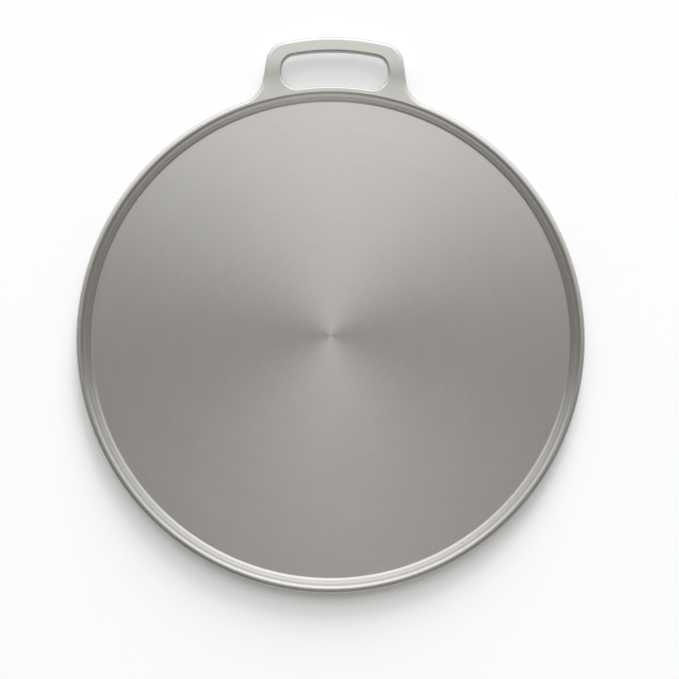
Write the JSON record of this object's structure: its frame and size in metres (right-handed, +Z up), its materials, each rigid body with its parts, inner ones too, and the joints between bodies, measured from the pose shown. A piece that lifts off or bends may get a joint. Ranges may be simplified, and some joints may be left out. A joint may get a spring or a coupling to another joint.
{
  "type": "pizza pan",
  "caption": "Round rimmed steel pizza pan on a sealed heat-spreading base, with a shallow stepped lip and a short loop handle for the fingers.",
  "frame": {"origin": "on the pan's axis, on the flat underside of the base, where the pan stands on a table", "axes": "+Z up through the deck, +Y out along the loop handle, +X to the right seen from above with the handle away"},
  "size_m": [0.381, 0.4198, 0.0106],
  "materials": {
    "brushed_deck": "circular spun brushing about the pan's axis",
    "satin_rim": "fine even satin with no brushing direction",
    "weld_metal": "cleaned weld buttons, slightly darker",
    "core_aluminium": "plain rolled aluminium, sealed inside the base",
    "base_steel": "concentric satin with light rub marks from cooking grates"
  },
  "bodies": {
    "root": {"deck_pan": "brushed_deck", "rim_frame": "satin_rim", "plug_welds": "weld_metal", "core_disc": "core_aluminium", "base_cap": "base_steel"}
  },
  "joints": []
}
